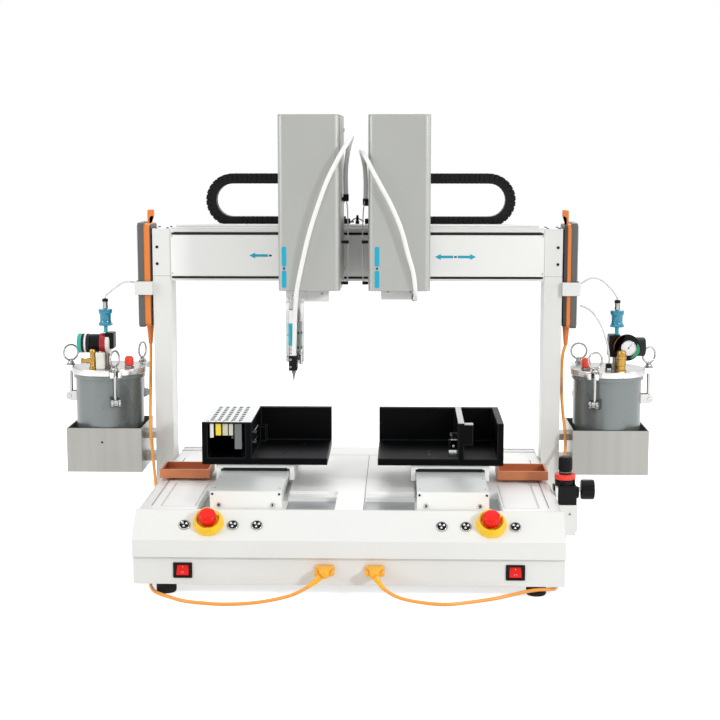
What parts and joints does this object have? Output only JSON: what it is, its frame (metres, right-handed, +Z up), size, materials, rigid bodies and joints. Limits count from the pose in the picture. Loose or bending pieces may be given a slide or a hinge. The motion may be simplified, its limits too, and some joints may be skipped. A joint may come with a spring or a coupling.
{
  "type": "desktop dispensing machine",
  "caption": "Benchtop gantry dispensing machine: white cabinet, moving trays, grey vertical heads on a beam, one dispensing valve, drag chains, hung pendants and side pressure pots.",
  "frame": {"origin": "middle of the machine on the table, at the feet", "axes": "+X to the right as seen from the front, +Y to the back, +Z up"},
  "size_m": [1.1428, 0.6202, 0.78],
  "materials": {
    "white_sheet": "smooth white powder coat",
    "deck_sheet": "smooth white powder coat",
    "rail_profile": "light grey-white coat, rounded edge",
    "foot_rubber": "matte black",
    "rail_steel": "ground steel",
    "slide_white": "white coat",
    "slide_cover": "satin silver anodised",
    "copper_anodised": "copper-brown anodised",
    "fittings_chrome": "polished",
    "guard_yellow": "yellow-orange",
    "pendant_orange": "orange with grey ribbed face",
    "cable_orange": "orange sheath",
    "bracket_steel": "brushed stainless",
    "pot_grey": "grey semi-gloss coat",
    "lid_steel": "machined steel",
    "regulator_black": "black",
    "chain_black": "black nylon",
    "tube_white": "milky white tube",
    "tube_clear": "clear tube",
    "head_grey": "satin grey anodised",
    "machine_grey": "machined and anodised",
    "valve_mixed": "silver body with a teal barrel and a black collar",
    "fixture_black": "black anodised",
    "button_dark": "dark mirror-like metal",
    "stop_red": "red",
    "rocker_red": "translucent red",
    "knob_teal": "teal end on a black knob",
    "knob_black": "blue-black",
    "valve_blue": "blue anodised"
  },
  "bodies": {
    "frame": {"base_pan": "white_sheet", "front_fascia": "white_sheet", "gantry_posts": "white_sheet", "beam_housing": "white_sheet", "beam_cover": "white_sheet", "pendant_holders": "white_sheet", "top_deck": "deck_sheet", "side_rails": "rail_profile", "rubber_feet": "foot_rubber", "guide_rails": "rail_steel", "y_housings": "slide_white", "y_top_covers": "slide_cover", "purge_trays": "copper_anodised", "panel_fittings": "fittings_chrome", "estop_guards": "guard_yellow", "pendants": "pendant_orange", "cable_plugs": "pendant_orange", "cable_left": "cable_orange", "cable_right": "cable_orange", "pot_brackets": "bracket_steel", "pot_vessels": "pot_grey", "pot_lids": "lid_steel", "pot_clamps": "lid_steel", "pot_regulators": "regulator_black", "frl_body": "regulator_black", "drag_chain_left": "chain_black", "drag_chain_right": "chain_black", "pot_tube_a": "tube_clear", "pot_tube_b": "tube_clear", "pot_tube_c": "tube_clear"},
    "head_left": {"x_carriage_left": "machine_grey", "head_cover_left": "head_grey", "feed_tube_left": "tube_white"},
    "head_right": {"x_carriage_right": "machine_grey", "head_cover_right": "head_grey", "feed_tube_right": "tube_white"},
    "z_left": {"z_slide_left": "machine_grey", "valve_body": "valve_mixed", "needle": "fittings_chrome"},
    "z_right": {"z_slide_right": "machine_grey"},
    "tray_left": {"y_carriage_left": "slide_white", "fixture_left": "fixture_black"},
    "tray_right": {"y_carriage_right": "slide_white", "fixture_right": "fixture_black"},
    "push_1": {"button_1": "button_dark"},
    "push_2": {"button_2": "button_dark"},
    "push_3": {"button_3": "button_dark"},
    "push_4": {"button_4": "button_dark"},
    "push_5": {"button_5": "button_dark"},
    "push_6": {"button_6": "button_dark"},
    "stop_left": {"estop_cap_left": "stop_red"},
    "stop_right": {"estop_cap_right": "stop_red"},
    "switch_left": {"rocker_left": "rocker_red"},
    "switch_right": {"rocker_right": "rocker_red"},
    "air_knob": {"frl_knob": "regulator_black"},
    "pressure_knob_left": {"pot_knob_left": "knob_teal"},
    "pressure_knob_right": {"pot_knob_right": "knob_black"},
    "sleeve_left": {"slide_valve_left": "valve_blue"},
    "sleeve_right": {"slide_valve_right": "valve_blue"}
  },
  "joints": [
    {"name": "head_left_x", "type": "slide", "parent": "frame", "child": "head_left", "axis": [1, 0, 0], "range_m": [-0.15, 0.005], "deforming": ["drag_chain_left"]},
    {"name": "head_right_x", "type": "slide", "parent": "frame", "child": "head_right", "axis": [1, 0, 0], "range_m": [-0.005, 0.15], "deforming": ["drag_chain_right"]},
    {"name": "head_left_z", "type": "slide", "parent": "head_left", "child": "z_left", "axis": [0, 0, 1], "range_m": [-0.1, 0], "deforming": ["feed_tube_left"]},
    {"name": "head_right_z", "type": "slide", "parent": "head_right", "child": "z_right", "axis": [0, 0, 1], "range_m": [-0.1, 0], "deforming": ["feed_tube_right"]},
    {"name": "tray_left_y", "type": "slide", "parent": "frame", "child": "tray_left", "axis": [0, -1, 0], "range_m": [-0.09, 0.09]},
    {"name": "tray_right_y", "type": "slide", "parent": "frame", "child": "tray_right", "axis": [0, -1, 0], "range_m": [-0.09, 0.09]},
    {"name": "button_1_press", "type": "slide", "parent": "frame", "child": "push_1", "axis": [0, -0.6941, 0.7198], "range_m": [-0.002, 0], "stiffness_N_per_m": 400},
    {"name": "button_2_press", "type": "slide", "parent": "frame", "child": "push_2", "axis": [0, -0.6941, 0.7198], "range_m": [-0.002, 0], "stiffness_N_per_m": 400},
    {"name": "button_3_press", "type": "slide", "parent": "frame", "child": "push_3", "axis": [0, -0.6941, 0.7198], "range_m": [-0.002, 0], "stiffness_N_per_m": 400},
    {"name": "button_4_press", "type": "slide", "parent": "frame", "child": "push_4", "axis": [0, -0.6941, 0.7198], "range_m": [-0.002, 0], "stiffness_N_per_m": 400},
    {"name": "button_5_press", "type": "slide", "parent": "frame", "child": "push_5", "axis": [0, -0.6941, 0.7198], "range_m": [-0.002, 0], "stiffness_N_per_m": 400},
    {"name": "button_6_press", "type": "slide", "parent": "frame", "child": "push_6", "axis": [0, -0.6941, 0.7198], "range_m": [-0.002, 0], "stiffness_N_per_m": 400},
    {"name": "estop_left_press", "type": "slide", "parent": "frame", "child": "stop_left", "axis": [0, -0.6941, 0.7198], "range_m": [-0.004, 0]},
    {"name": "estop_right_press", "type": "slide", "parent": "frame", "child": "stop_right", "axis": [0, -0.6941, 0.7198], "range_m": [-0.004, 0]},
    {"name": "rocker_left_tilt", "type": "hinge", "parent": "frame", "child": "switch_left", "pos_m": [-0.269, -0.27, 0.0435], "axis": [1, 0, 0], "range_deg": [0, 14]},
    {"name": "rocker_right_tilt", "type": "hinge", "parent": "frame", "child": "switch_right", "pos_m": [0.27, -0.27, 0.0435], "axis": [1, 0, 0], "range_deg": [0, 14]},
    {"name": "air_knob_turn", "type": "hinge", "parent": "frame", "child": "air_knob", "pos_m": [0.368, -0.083, 0.18], "axis": [0, 0, 1], "range_deg": [-180, 180]},
    {"name": "pressure_left_turn", "type": "hinge", "parent": "frame", "child": "pressure_knob_left", "pos_m": [-0.519, 0.189, 0.3545], "axis": [1, 0, 0], "range_deg": [-150, 150]},
    {"name": "pressure_right_turn", "type": "hinge", "parent": "frame", "child": "pressure_knob_right", "pos_m": [0.5255, 0.189, 0.3515], "axis": [1, 0, 0], "range_deg": [-150, 150]},
    {"name": "sleeve_left_slide", "type": "slide", "parent": "frame", "child": "sleeve_left", "axis": [0, 0, 1], "range_m": [-0.012, 0]},
    {"name": "sleeve_right_slide", "type": "slide", "parent": "frame", "child": "sleeve_right", "axis": [0, 0, 1], "range_m": [-0.012, 0]}
  ]
}
